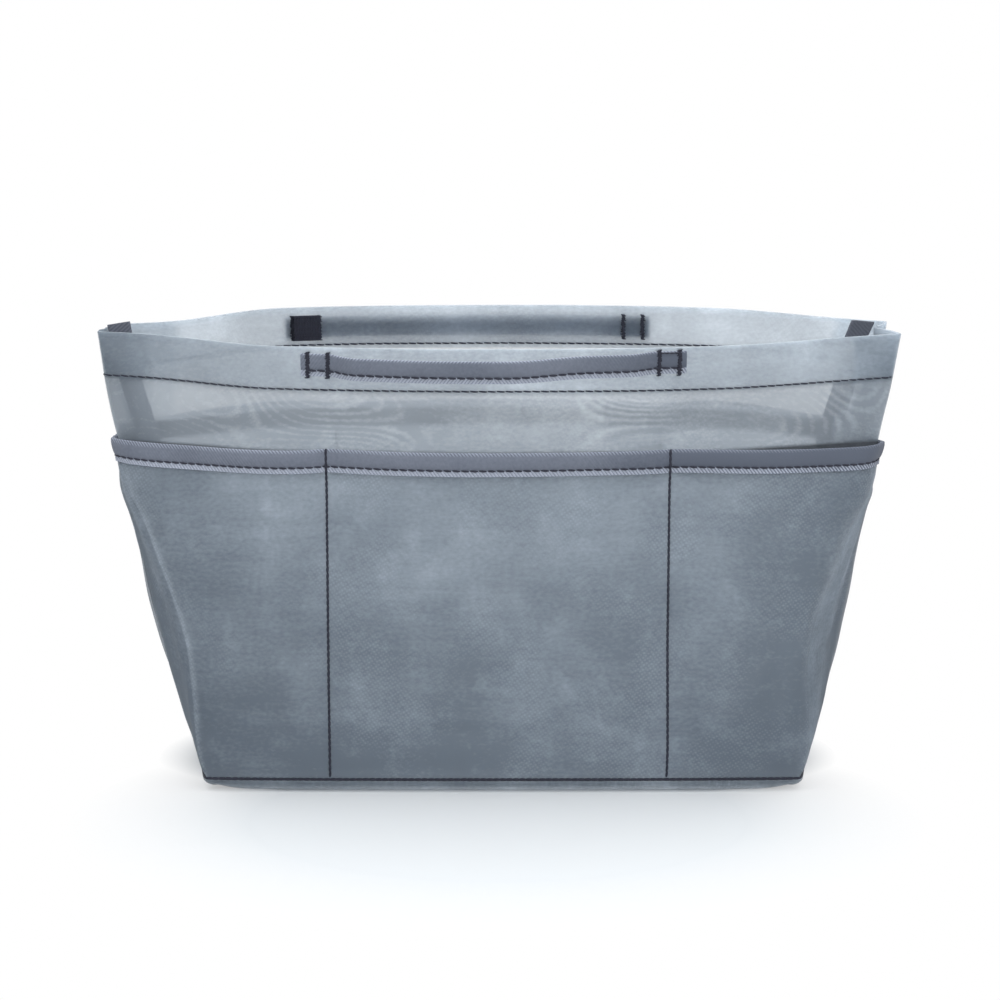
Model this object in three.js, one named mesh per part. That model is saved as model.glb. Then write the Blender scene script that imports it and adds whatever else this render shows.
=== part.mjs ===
// Purse organizer insert: a free-standing tote of stiff sheer mesh with outer pockets on both faces,
// tape bindings, inward side seams and a tape handle on each hem.
// Millimetres, +Z up, X along the width, front towards -Y, origin on the floor under the middle.
import * as THREE from 'three';

// Heights
const RIM_HEIGHT = 172; // floor to the folded top edge
const SEAM_HEIGHT = 5; // floor to the bottom seam, where the floor panel's turned-up edge ends
const WAIST_HEIGHT = 64; // where the gussets stand out furthest
const POCKET_DROP = 22.5; // hem stitching down to the pocket mouths

// Width along the front, from corner fold to corner fold
const BASE_WIDTH = 228;
const WAIST_WIDTH = 236;
const POCKET_WIDTH = 293;
const RIM_WIDTH = 306;

// Depth from the front corner fold to the back corner fold
const BASE_DEPTH = 90;
const WAIST_DEPTH = 80;
const POCKET_DEPTH = 40;
const RIM_DEPTH = 30;

// How far the middle of a wall stands out past its corner folds
const BASE_BULGE = 1.5;
const WAIST_BULGE = 6.5;
const POCKET_BULGE = 22;
const RIM_BULGE = 27;
const BULGE_POWER = 2.4; // 2 is a parabola, more is flatter in the middle

// How far a side seam lies outside the corner folds beside it: the gussets bow out low down and fold in at
// the rim
const BASE_BOW = 6;
const WAIST_BOW = 17.3;
const POCKET_BOW = 0.5;
const RIM_BOW = -6;

// Cloth, tape and thread
const CLOTH = 0.5;
const TAPE = 0.6;
const THREAD = 0.5; // how thick a row of stitches stands
const ROW_WIDTH = 0.8; // how wide a row of stitches is
const CLEAR = 0.3; // between neighbouring layers
const BINDING_WIDTH = 8.4; // folded tape
const ROW_INSET = 1.8; // stitch row above the tape's lower edge

// Outer pockets
const DIVIDER_SPACING = 129; // between the two divider rows of a face
const MIDDLE_GAPE = 6.5; // how far each mouth stands open beyond its binding
const SIDE_GAPE = 9.5;
const GUSSET_GAPE = 2.5;
const GAPE_POWER = 4; // 2 is a parabola between the sewn edges, more is fuller
const SWELL_POWER = 0.7; // 1 opens evenly from the bottom seam up, less is fuller low down
const DIVIDER_RAMP = 2.5; // height over which a divider row steps out onto the binding

// Handles
const HANDLE_LENGTH = 144; // outer end to outer end
const HANDLE_WIDTH = 8.2;
const HANDLE_THICKNESS = 1.4;
const HANDLE_DROP = 3; // rim down to the handle's upper edge
const HEM_MARGIN = 5.8; // handle's lower edge down to the hem stitching
const TAB_LENGTH = 10.2; // sewn-down end, from the outer end to the inner bar tack
const TACK_INSET = 1.6; // outer bar tack from the outer end
const TACK_WIDTH = 1.4;
const ROOT_LENGTH = 12; // rise from the inner bar tack to the free strap
const ROOT_GAP = 0.8; // between the fixed root and the free strap
const SWING_CLEARANCE = 1.2; // between the turning strap's edge and the hem
const HANDLE_BOW = 3.5; // the strap's middle stands out further than its roots
const BACK_HANDLE_SHIFT = -11.5; // the back handle is sewn this far off the middle, along X

// Places that follow from the sizes above
const HANDLE_Z = RIM_HEIGHT - HANDLE_DROP - HANDLE_WIDTH / 2;
const HEM_Z = RIM_HEIGHT - HANDLE_DROP - HANDLE_WIDTH - HEM_MARGIN;
const POCKET_TOP = HEM_Z - POCKET_DROP;
const BINDING_BOTTOM = POCKET_TOP - BINDING_WIDTH;
const WALL_BOTTOM = SEAM_HEIGHT + CLEAR / 2;
const HEM_FACE = -CLOTH - CLEAR; // outer face of the turned-in hem, inside the wall
const SEAM_STACK = 2 * (TAPE + CLOTH); // a bound seam allowance, two cloths inside a folded tape
const EDGE_OUT = CLEAR + CLOTH; // outer face of the pocket cloth along the bottom seam
const STAND_OFF = HANDLE_WIDTH / 2 + SWING_CLEARANCE; // hem to the strap's inner face at its roots
const TACK_X = HANDLE_LENGTH / 2 - TAB_LENGTH;
const ROOT_X = TACK_X - ROOT_LENGTH;

// The bag's outline at four heights. A girth of -1 to 1 runs along a wall between its corner folds,
// and 1 to 2 round the half gusset to the side seam.
const station = (z, width, depth, bulge, bow) => {
  return { z, corner: width / 2, depth: depth / 2, bulge, seam: width / 2 + bow };
};
const STATIONS = [
  station(SEAM_HEIGHT, BASE_WIDTH, BASE_DEPTH, BASE_BULGE, BASE_BOW),
  station(WAIST_HEIGHT, WAIST_WIDTH, WAIST_DEPTH, WAIST_BULGE, WAIST_BOW),
  station(POCKET_TOP, POCKET_WIDTH, POCKET_DEPTH, POCKET_BULGE, POCKET_BOW),
  station(RIM_HEIGHT, RIM_WIDTH, RIM_DEPTH, RIM_BULGE, RIM_BOW),
];
const DIVIDER_GIRTH = 0.45;
const DIVIDER_X = DIVIDER_SPACING / 2;

// Facets of the curved pieces
const LEVEL_STEP = 17; // facet height of the cloth
const LEVEL_MARGIN = 1; // least height of the facets at its ends
const GUSSET_FACETS = 3;
const SIDE_FACETS = 6;
const MIDDLE_FACETS = 8;
const STRAP_FACETS = 20;
const TAB_FACETS = 9;
const ROLL_FACETS = 4;

const mix = (a, b, t) => a + (b - a) * t;
const rise = (t) => THREE.MathUtils.smoothstep(t, 0, 1);

// Evenly spaced values from a to b, both included.
const spread = (a, b, steps) => Array.from({ length: steps + 1 }, (_, i) => mix(a, b, i / steps));

// The rate of change of one outline value at station i.
function stationSlope(key, i) {
  const before = STATIONS[Math.max(i - 1, 0)];
  const after = STATIONS[Math.min(i + 1, STATIONS.length - 1)];
  return (after[key] - before[key]) / (after.z - before.z);
}

// One outline value at height z, on a smooth curve through the stations.
function outlineValue(key, z) {
  let i = 0;
  while (i < STATIONS.length - 2 && z > STATIONS[i + 1].z) i += 1;
  const [low, high] = [STATIONS[i], STATIONS[i + 1]];
  const span = high.z - low.z;
  const t = (z - low.z) / span;
  const curve = rise(t);
  const leave = t * (1 - t) ** 2 * span * stationSlope(key, i);
  const arrive = t ** 2 * (1 - t) * span * stationSlope(key, i + 1);
  return mix(low[key], high[key], curve) + leave - arrive;
}

// A point of the front half's outline at height z, with the plan direction that leads straight out of the
// cloth there. At a fold the direction is mitred, so parallel layers stay parallel round it.
function outlinePoint(girth, z) {
  const corner = outlineValue('corner', z);
  const depth = outlineValue('depth', z);
  const bulge = outlineValue('bulge', z);
  const seam = outlineValue('seam', z);
  const side = girth < 0 ? -1 : 1;
  const turn = Math.abs(girth);
  const gussetOut = new THREE.Vector2(depth, corner - seam).normalize();
  const point = new THREE.Vector2();
  let out = gussetOut;
  if (turn <= 1) {
    const x = turn <= DIVIDER_GIRTH
      ? (turn / DIVIDER_GIRTH) * DIVIDER_X
      : mix(DIVIDER_X, corner, (turn - DIVIDER_GIRTH) / (1 - DIVIDER_GIRTH));
    const reach = x / corner;
    point.set(x, -(depth + bulge * (1 - reach ** BULGE_POWER)));
    out = new THREE.Vector2((bulge * BULGE_POWER * reach ** (BULGE_POWER - 1)) / corner, -1).normalize();
    if (turn === 1) {
      const fold = 1 + out.dot(gussetOut);
      out = out.clone().add(gussetOut).divideScalar(fold);
    }
  } else {
    point.set(mix(corner, seam, turn - 1), mix(-depth, -CLEAR / 2, turn - 1));
    if (turn === 2) out = new THREE.Vector2(1 / gussetOut.x, 0);
  }
  point.x *= side;
  return { point, out: new THREE.Vector2(out.x * side, out.y) };
}

// A point a given distance outside the front half's cloth.
function place(girth, z, distance) {
  const { point, out } = outlinePoint(girth, z);
  return new THREE.Vector3(point.x + out.x * distance, point.y + out.y * distance, z);
}

// The girth at which a wall has a given x, between its corner folds.
function girthAt(x, z) {
  const reach = Math.abs(x);
  const share = (reach - DIVIDER_X) / (outlineValue('corner', z) - DIVIDER_X);
  const girth = reach <= DIVIDER_X
    ? (reach / DIVIDER_X) * DIVIDER_GIRTH
    : mix(DIVIDER_GIRTH, 1, share);
  return Math.sign(x) * girth;
}

// Steps round the front half, from side seam to side seam, that meet every fold and divider.
const GUSSET_STEPS = spread(1, 2, GUSSET_FACETS);
const SIDE_STEPS = spread(DIVIDER_GIRTH, 1, SIDE_FACETS);
const MIDDLE_STEPS = spread(-DIVIDER_GIRTH, DIVIDER_GIRTH, MIDDLE_FACETS);
const RIGHT_STEPS = [...SIDE_STEPS.slice(1), ...GUSSET_STEPS.slice(1)];
const GIRTHS = [...RIGHT_STEPS.map((g) => -g).reverse(), ...MIDDLE_STEPS, ...RIGHT_STEPS];

// Heights between two ends on facet lines that all layers share.
function levels(bottom, top) {
  const lines = [];
  for (let z = SEAM_HEIGHT + LEVEL_STEP; z < top - LEVEL_MARGIN; z += LEVEL_STEP) {
    if (z > bottom + LEVEL_MARGIN) lines.push(z);
  }
  return [bottom, ...lines, top];
}

// Triangles that fill a ring whose first half runs alongside its second half, wound the way the ring runs.
function fill(count) {
  const faces = [];
  for (let k = 0; k < count / 2 - 1; k += 1) {
    const across = count - 1 - k;
    faces.push([k, k + 1, across - 1], [k, across - 1, across]);
  }
  return faces;
}

function signedVolume(points, faces) {
  return faces.reduce((sum, [a, b, c]) => sum + points[a].dot(points[b].clone().cross(points[c])) / 6, 0);
}

// A closed solid through rings of equal length. An open run is capped at both ends, and an endless one joins
// its last ring to its first. Facets that climb and facets that fall are split along the same diagonal, so
// that the layers of cloth stay parallel.
function loft(rings, endless = false) {
  const count = rings[0].length;
  const points = rings.flat();
  const spans = endless ? rings.length : rings.length - 1;
  const faces = [];
  for (let r = 0; r < spans; r += 1) {
    const here = r * count;
    const next = ((r + 1) % rings.length) * count;
    for (let k = 0; k < count; k += 1) {
      const along = (k + 1) % count;
      const [a, b, c, d] = [here + k, next + k, next + along, here + along];
      const falling = points[d].z < points[a].z;
      faces.push(...(falling ? [[a, b, d], [b, c, d]] : [[a, b, c], [a, c, d]]));
    }
  }
  const last = (rings.length - 1) * count;
  for (const [a, b, c] of endless ? [] : fill(count)) {
    faces.push([a, b, c], [last + a, last + c, last + b]);
  }
  const inward = signedVolume(points, faces) < 0;
  const index = faces.flatMap(([a, b, c]) => (inward ? [a, c, b] : [a, b, c]));
  const geometry = new THREE.BufferGeometry().setFromPoints(points);
  geometry.setIndex(index);
  geometry.computeVertexNormals();
  return geometry;
}

// A solid that runs along the cloth. outline(girth) lists [distance, z] round its section.
function wrap(girths, outline) {
  const rings = girths.map((g) => outline(g).map(([distance, z]) => place(g, z, distance)));
  return loft(rings);
}

// A sheet between two faces, each a function of girth and z that gives its distance from the cloth.
function sheet(girths, heights, inner, outer) {
  return wrap(girths, (g) => [
    ...heights.map((z) => [outer(g, z), z]),
    ...[...heights].reverse().map((z) => [inner(g, z), z]),
  ]);
}

// A row of stitches along the cloth at height z, lying on a face.
function stitchRow(girths, z, face) {
  const heights = [z - ROW_WIDTH / 2, z + ROW_WIDTH / 2];
  return sheet(girths, heights, (g) => face(g, z) + CLEAR, (g) => face(g, z) + CLEAR + THREAD);
}

// A solid that climbs through level rings of [x, y] points. ring(z) lists them.
function climb(heights, ring) {
  const rings = heights.map((z) => ring(z).map(([x, y]) => new THREE.Vector3(x, y, z)));
  return loft(rings);
}

const materials = {
  mesh: new THREE.MeshStandardMaterial({ color: 0x8d99a5, roughness: 0.55, metalness: 0 }),
  tape: new THREE.MeshStandardMaterial({ color: 0x757d8b, roughness: 0.8, metalness: 0 }),
  thread: new THREE.MeshStandardMaterial({ color: 0x2b2e38, roughness: 0.6, metalness: 0 }),
};

function piece(name, material, geometry) {
  const mesh = new THREE.Mesh(geometry, materials[material]);
  mesh.name = name;
  return mesh;
}

const wallFace = () => 0;

function bodyCloth() {
  return sheet(GIRTHS, levels(WALL_BOTTOM, RIM_HEIGHT), () => -CLOTH, wallFace);
}

// The hem stops short of the side seam, where the bound seam allowance stands.
function hemCloth() {
  const stop = 2 - (SEAM_STACK / 2 + 2 * CLEAR + 2 * CLOTH) / (RIM_DEPTH / 2);
  const girths = [-stop, ...GIRTHS.filter((g) => Math.abs(g) < stop), stop];
  return sheet(girths, levels(HEM_Z, RIM_HEIGHT), () => HEM_FACE - CLOTH, () => HEM_FACE);
}

// How far the pocket cloth's inner face lies from the wall: it clears its binding at the mouth, gapes
// between the dividers, corner folds and side seams, and closes at the bottom seam.
function pocketFace(girth, z) {
  const turn = Math.abs(girth);
  const stretches = [
    [-DIVIDER_GIRTH, DIVIDER_GIRTH, MIDDLE_GAPE],
    [DIVIDER_GIRTH, 1, SIDE_GAPE],
    [1, 2, GUSSET_GAPE],
  ];
  const [from, to, gape] = stretches.find(([, end]) => turn <= end);
  const across = (turn - from) / (to - from);
  const up = Math.min((z - WALL_BOTTOM) / (BINDING_BOTTOM - WALL_BOTTOM), 1);
  const full = 1 - Math.abs(2 * across - 1) ** GAPE_POWER;
  return CLEAR + up * (TAPE + CLEAR) + up ** SWELL_POWER * gape * full;
}

const pocketOuter = (girth, z) => pocketFace(girth, z) + CLOTH;
const bindingOuter = (girth) => pocketOuter(girth, POCKET_TOP) + CLEAR + TAPE;

function pocketCloth() {
  const heights = [...levels(WALL_BOTTOM, BINDING_BOTTOM), POCKET_TOP - TAPE - CLEAR];
  return sheet(GIRTHS, heights, pocketFace, pocketOuter);
}

// Tape folded over the pocket mouth: an inner leaf, the fold on top and an outer leaf.
function pocketBinding() {
  return wrap(GIRTHS, (g) => {
    const outer = bindingOuter(g);
    const inner = pocketFace(g, POCKET_TOP) - CLEAR - TAPE;
    return [
      [outer, BINDING_BOTTOM],
      [outer, POCKET_TOP],
      [inner, POCKET_TOP],
      [inner, BINDING_BOTTOM],
      [inner + TAPE, BINDING_BOTTOM],
      [inner + TAPE, POCKET_TOP - TAPE],
      [outer - TAPE, POCKET_TOP - TAPE],
      [outer - TAPE, BINDING_BOTTOM],
    ];
  });
}

// A row of stitches up the pocket, stepping out over the binding and its own stitch row.
function dividerStitching(girth) {
  const foot = WALL_BOTTOM + ROW_WIDTH / 2 + CLEAR;
  const heights = [
    ...levels(foot, BINDING_BOTTOM - CLEAR - DIVIDER_RAMP),
    BINDING_BOTTOM - CLEAR,
    POCKET_TOP - CLEAR,
  ];
  const half = girthAt(ROW_WIDTH / 2, POCKET_TOP);
  return climb(heights, (z) => {
    const over = bindingOuter(girth) + CLEAR + THREAD;
    const base = z >= BINDING_BOTTOM - CLEAR ? over : pocketOuter(girth, z);
    return [[-half, 0], [half, 0], [half, THREAD], [-half, THREAD]].map(([aside, off]) => {
      const spot = place(girth + aside, z, base + CLEAR + off);
      return [spot.x, spot.y];
    });
  });
}

// How far the handle's inner face stands off the wall: flat where it is sewn, then up its root and
// bowed over the free strap.
function handleFace(x) {
  const reach = Math.abs(x);
  const bow = HANDLE_BOW * Math.max(1 - (reach / ROOT_X) ** 2, 0);
  return CLEAR + STAND_OFF * rise((TACK_X - reach) / ROOT_LENGTH) + bow;
}

// A length of the handle's tape between two distances along it, centred at shift.
function handleTape(from, to, steps, shift) {
  const half = HANDLE_WIDTH / 2;
  const rings = spread(from, to, steps).map((x) => {
    const g = girthAt(x + shift, HANDLE_Z);
    const [near, far] = [handleFace(x), handleFace(x) + HANDLE_THICKNESS];
    return [[near, -half], [far, -half], [far, half], [near, half]].map(([distance, up]) =>
      place(g, HANDLE_Z + up, distance));
  });
  return loft(rings);
}

// A row of stitches along the free strap, near its lower edge.
function handleStitching(shift) {
  const z = HANDLE_Z - HANDLE_WIDTH / 2 + ROW_INSET;
  const end = ROOT_X - ROW_INSET;
  const half = ROW_WIDTH / 2;
  const rings = spread(-end, end, STRAP_FACETS).map((x) => {
    const g = girthAt(x + shift, HANDLE_Z);
    const face = handleFace(x) + HANDLE_THICKNESS + CLEAR;
    return [[face, -half], [face + THREAD, -half], [face + THREAD, half], [face, half]].map(
      ([distance, up]) => place(g, z + up, distance));
  });
  return loft(rings);
}

function barTack(x, shift) {
  const girths = [x - TACK_WIDTH / 2, x + TACK_WIDTH / 2].map((at) => girthAt(at + shift, HANDLE_Z));
  const half = HANDLE_WIDTH / 2 - CLEAR;
  const face = CLEAR + HANDLE_THICKNESS + CLEAR;
  return sheet(girths, [HANDLE_Z - half, HANDLE_Z + half], () => face, () => face + THREAD);
}

function handle(face, sides, shift) {
  const outerTack = HANDLE_LENGTH / 2 - TACK_INSET;
  const group = new THREE.Group();
  group.add(piece(`${face}_handle_strap`, 'tape', handleTape(-ROOT_X, ROOT_X, STRAP_FACETS, shift)));
  group.add(piece(`${face}_handle_stitching`, 'thread', handleStitching(shift)));
  sides.forEach((side, i) => {
    const way = i === 0 ? -1 : 1;
    const tab = handleTape(way * (ROOT_X + ROOT_GAP), (way * HANDLE_LENGTH) / 2, TAB_FACETS, shift);
    group.add(piece(`${face}_handle_${side}_end`, 'tape', tab));
    group.add(piece(`${face}_handle_${side}_inner_tack`, 'thread', barTack(way * TACK_X, shift)));
    group.add(piece(`${face}_handle_${side}_outer_tack`, 'thread', barTack(way * outerTack, shift)));
  });
  return group;
}

// Everything sewn to one face, built as the front. sides names its -X and +X ends.
function faceGroup(face, sides, handleShift) {
  const group = new THREE.Group();
  const rowStop = 2 - (ROW_WIDTH + CLEAR) / (RIM_DEPTH / 2);
  const hemGirths = [-rowStop, ...GIRTHS.filter((g) => Math.abs(g) < rowStop), rowStop];
  const bindingRow = BINDING_BOTTOM + ROW_INSET;
  group.add(piece(`${face}_body`, 'mesh', bodyCloth()));
  group.add(piece(`${face}_hem`, 'mesh', hemCloth()));
  group.add(piece(`${face}_hem_stitching`, 'thread', stitchRow(hemGirths, HEM_Z + ROW_WIDTH, wallFace)));
  group.add(piece(`${face}_pocket`, 'mesh', pocketCloth()));
  group.add(piece(`${face}_pocket_binding`, 'tape', pocketBinding()));
  group.add(piece(`${face}_binding_stitching`, 'thread', stitchRow(GIRTHS, bindingRow, bindingOuter)));
  sides.forEach((side, i) => {
    const girth = i === 0 ? -DIVIDER_GIRTH : DIVIDER_GIRTH;
    group.add(piece(`${face}_${side}_divider_stitching`, 'thread', dividerStitching(girth)));
  });
  group.add(handle(face, sides, handleShift));
  return group;
}

// A level ring right round the bag, a given distance outside the bottom seam's outline.
function baseRing(distance, z) {
  const half = GIRTHS.slice(0, -1).map((g) => place(g, SEAM_HEIGHT, distance).setZ(z));
  return [...half, ...half.map((p) => new THREE.Vector3(-p.x, -p.y, p.z))];
}

// The floor panel, a shallow tray whose rolled edge reaches up to the bottom seam.
function bottomPanel() {
  const roll = SEAM_HEIGHT - CLEAR / 2;
  const middle = EDGE_OUT - roll;
  const arc = (radius, turn) => baseRing(middle + radius * Math.cos(turn), roll - radius * Math.sin(turn));
  const turns = spread(Math.PI / 2, 0, ROLL_FACETS);
  const rings = [
    ...turns.map((turn) => arc(roll, turn)),
    ...[...turns].reverse().map((turn) => arc(roll - CLOTH, turn)),
  ];
  return loft(rings);
}

// A band that runs right round the bag between two distances from the bottom seam's outline.
function baseBand(near, far, low, high) {
  const corners = [[near, low], [far, low], [far, high], [near, high]];
  const runs = corners.map(([distance, z]) => baseRing(distance, z));
  return loft(runs[0].map((_, i) => runs.map((run) => run[i])), true);
}

// The bound seam allowance of the floor, lying flat inside the tray.
function bottomBinding() {
  const edge = EDGE_OUT - SEAM_HEIGHT - CLEAR;
  const low = CLOTH + CLEAR;
  return baseBand(edge - BINDING_WIDTH, edge, low, low + SEAM_STACK);
}

function bottomStitching() {
  const near = EDGE_OUT + CLEAR;
  return baseBand(near, near + THREAD, SEAM_HEIGHT - ROW_WIDTH / 2, SEAM_HEIGHT + ROW_WIDTH / 2);
}

// Where the bound side seam starts at height z, clear of the cloth on both sides of it.
function sideRoot(z) {
  const beside = 2 - (SEAM_STACK / 2 + CLOTH) / outlineValue('depth', z);
  return Math.min(place(2, z, -CLOTH).x, place(beside, z, -CLOTH).x) - CLEAR;
}

// The bound side seam stands into the bag from the middle of each gusset.
function sideBinding(way) {
  const half = SEAM_STACK / 2;
  return climb(levels(WALL_BOTTOM, RIM_HEIGHT), (z) => {
    const root = sideRoot(z);
    const tip = root - BINDING_WIDTH;
    return [[tip, -half], [root, -half], [root, half], [tip, half]].map(([x, y]) => [way * x, y]);
  });
}

function sideStitching(way) {
  const near = SEAM_STACK / 2 + CLEAR;
  const far = near + THREAD;
  return climb(levels(WALL_BOTTOM + ROW_INSET, RIM_HEIGHT - ROW_INSET), (z) => {
    const tip = sideRoot(z) - BINDING_WIDTH + ROW_INSET;
    const foot = tip + ROW_WIDTH;
    return [[tip, -far], [foot, -far], [foot, -near], [tip, -near]].map(([x, y]) => [way * x, y]);
  });
}

const organizer = new THREE.Group();
organizer.add(faceGroup('front', ['left', 'right'], 0));

// The back is the front turned half round, so its left and right change places.
const back = faceGroup('back', ['right', 'left'], -BACK_HANDLE_SHIFT);
back.rotation.z = Math.PI;
organizer.add(back);

organizer.add(piece('bottom_panel', 'mesh', bottomPanel()));
organizer.add(piece('bottom_seam_binding', 'tape', bottomBinding()));
organizer.add(piece('bottom_seam_stitching', 'thread', bottomStitching()));
for (const [side, way] of [['left', -1], ['right', 1]]) {
  organizer.add(piece(`${side}_seam_binding`, 'tape', sideBinding(way)));
  organizer.add(piece(`${side}_seam_stitching`, 'thread', sideStitching(way)));
}

export default organizer;
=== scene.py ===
# Looks of a purse organizer insert of sheer mesh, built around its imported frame.
# Metres, +Z up, X along the width, front towards -Y.
import math
from dataclasses import dataclass
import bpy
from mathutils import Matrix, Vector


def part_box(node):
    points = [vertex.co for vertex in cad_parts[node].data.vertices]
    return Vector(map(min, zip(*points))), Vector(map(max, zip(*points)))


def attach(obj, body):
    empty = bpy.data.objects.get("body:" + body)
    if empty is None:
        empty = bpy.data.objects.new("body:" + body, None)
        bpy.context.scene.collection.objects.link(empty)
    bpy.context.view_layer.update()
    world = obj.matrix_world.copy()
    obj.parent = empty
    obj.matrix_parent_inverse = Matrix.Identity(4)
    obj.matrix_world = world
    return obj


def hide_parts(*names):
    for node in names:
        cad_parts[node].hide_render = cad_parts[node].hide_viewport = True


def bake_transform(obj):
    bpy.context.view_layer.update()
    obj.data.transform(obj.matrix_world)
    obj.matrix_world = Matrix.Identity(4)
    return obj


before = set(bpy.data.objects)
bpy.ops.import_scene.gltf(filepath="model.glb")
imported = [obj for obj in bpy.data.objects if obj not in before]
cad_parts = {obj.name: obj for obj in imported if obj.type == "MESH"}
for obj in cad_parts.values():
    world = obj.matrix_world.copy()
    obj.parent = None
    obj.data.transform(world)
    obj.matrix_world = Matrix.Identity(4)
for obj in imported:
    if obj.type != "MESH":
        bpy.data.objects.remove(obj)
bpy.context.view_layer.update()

from types import SimpleNamespace

import bmesh
import bpy
import numpy as np


def low(node):
    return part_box(node)[0]


def high(node):
    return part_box(node)[1]


def middle(node):
    return (low(node) + high(node)) / 2


# Heights and sizes from the frame
RIM = high("front_body").z
WALL_BOTTOM = low("front_body").z
POCKET_TOP = high("front_pocket_binding").z
BINDING_BOTTOM = low("front_pocket_binding").z
BINDING_WIDTH = POCKET_TOP - BINDING_BOTTOM
HEM_BOTTOM = low("front_hem").z
HEM_ROW = middle("front_hem_stitching").z
SEAM = middle("bottom_seam_stitching").z
HANDLE_Z = middle("front_handle_strap").z
HANDLE_WIDTH = high("front_handle_strap").z - low("front_handle_strap").z
BACK_SHIFT = -middle("back_handle_strap").x

# The outline at the bottom seam, the waist, the pocket mouth and the rim: half the width between the corner
# folds, half the depth between them, how far a wall's middle stands out, and half the width at the seams
WAIST = 0.064
STATION_Z = np.array([SEAM, WAIST, POCKET_TOP, RIM])
CORNER = np.array([0.114, 0.1195, 0.1465, 0.153])
DEPTH = np.array([0.045, 0.040, 0.020, 0.015])
BULGE = np.array([0.0015, 0.0065, 0.022, 0.027])
SIDE_SEAM = CORNER + np.array([0.006, 0.0158, 0.0005, -0.006])
BULGE_POWER = 2.4
WALL_CURVE = 1.03  # a wall's length for each metre across
DIVIDER_GIRTH = 0.45  # the place of the divider rows between the middle and the corner folds
DIVIDER_X = 0.0645

# Thicknesses of cloth and tape, radii of thread, and the room between layers
CLOTH = 0.0003
TAPE = 0.0005
THREAD = 0.00042
FINE_THREAD = 0.00034
HEAVY_THREAD = 0.00052
SEAM_THREAD = 0.00068
TACK_THREAD = 0.0003
CLEAR = 0.0003
HEM_FOLD = 0.0003  # half the gap between a wall and its turned-in hem
HEM_INSIDE = CLOTH + 2 * HEM_FOLD

# Stitches
ROW_INSET = 0.0021  # from a tape's lip to its stitch row
STITCH = 0.0029
STITCH_GAP = 0.0004
STITCH_SLANT = 0.00012
STITCH_ARCH = 0.00022
STITCH_TIP = 0.45  # share of a strand's thickness that doesn't taper
STITCH_CUT = 0.08  # share of the taper cut off at each end
OUTWARD = 0.001  # a step that shows the way out of the cloth


def smooth(t):
    t = np.clip(t, 0, 1)
    return t * t * (3 - 2 * t)


def ramp(value, start, length):
    """From 0 at the start to 1 a length further on, soft at both ends."""
    return smooth((value - start) / length)


def unit(vectors):
    return vectors / np.linalg.norm(vectors, axis=-1, keepdims=True)


# The cloth's outline

def through(values, z):
    """A smooth curve through one value of the outline at the four stations."""
    last = len(values) - 1
    before = np.maximum(np.arange(last + 1) - 1, 0)
    after = np.minimum(np.arange(last + 1) + 1, last)
    slopes = (values[after] - values[before]) / (STATION_Z[after] - STATION_Z[before])
    i = np.clip(np.searchsorted(STATION_Z, z) - 1, 0, last - 1)
    span = STATION_Z[i + 1] - STATION_Z[i]
    t = (z - STATION_Z[i]) / span
    turn = t * (1 - t) ** 2 * slopes[i] - t ** 2 * (1 - t) * slopes[i + 1]
    return values[i] + (values[i + 1] - values[i]) * smooth(t) + span * turn


def sharp_outline(girth, z):
    """Plan point of the front half's cloth. A girth of -1 to 1 runs along the wall, and from there to -2 or 2
    round a half gusset."""
    corner, depth, bulge, seam = (through(v, z) for v in (CORNER, DEPTH, BULGE, SIDE_SEAM))
    turn = np.abs(girth)
    share = np.clip((turn - DIVIDER_GIRTH) / (1 - DIVIDER_GIRTH), 0, 1)
    near = turn / DIVIDER_GIRTH * DIVIDER_X
    x = np.where(turn <= DIVIDER_GIRTH, near, DIVIDER_X + (corner - DIVIDER_X) * share)
    y = -(depth + bulge * (1 - (x / corner) ** BULGE_POWER))
    side = np.maximum(turn - 1, 0)
    x = x + (seam - corner) * side
    y = np.where(turn > 1, -depth * (1 - side), y)
    return np.stack([np.sign(girth) * x, y], -1)


def shifted(girth, z, distance):
    """The girth that lies a distance further round the cloth."""
    wall = through(CORNER, z) * WALL_CURVE
    gusset = np.hypot(through(DEPTH, z), through(SIDE_SEAM, z) - through(CORNER, z))
    turn = np.abs(girth)
    way = np.where(girth < 0, -1, 1)
    length = np.where(turn <= 1, turn * wall, wall + (turn - 1) * gusset) + way * distance
    moved = np.where(length <= wall, length / wall, 1 + (length - wall) / gusset)
    return way * moved


FOLD_STEP = 0.0013
FOLD_WEIGHTS = {-2: 1 / 16, -1: 4 / 16, 0: 6 / 16, 1: 4 / 16, 2: 1 / 16}


def outline(girth, z):
    """The outline with its corner folds softened."""
    return sum(w * sharp_outline(shifted(girth, z, k * FOLD_STEP), z) for k, w in FOLD_WEIGHTS.items())


WAVE_COUNT = 14
WAVE_SPREAD = (0.7, 1.5)  # shortest and longest wave, as shares of the wavelength


def waves(u, v, length, seed):
    """Soft noise of about unit height, made of crossing waves near one wavelength."""
    rng = np.random.default_rng(seed)
    total = 0
    for _ in range(WAVE_COUNT):
        angle = rng.uniform(0, math.pi)
        scale = 2 * math.pi / (length * rng.uniform(*WAVE_SPREAD))
        along = u * math.cos(angle) + v * math.sin(angle)
        total = total + np.cos(scale * along + rng.uniform(0, 2 * math.pi))
    return total / math.sqrt(WAVE_COUNT)


GIRTH_LENGTH = 0.15  # of a wall's half, roughly
STILL_HEIGHT = 0.035
HEM_CALM = 0.5
DRAPE_WAVES = ((0.0007, 0.09, 3), (0.00022, 0.028, 5))  # depths, wavelengths and seeds


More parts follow.
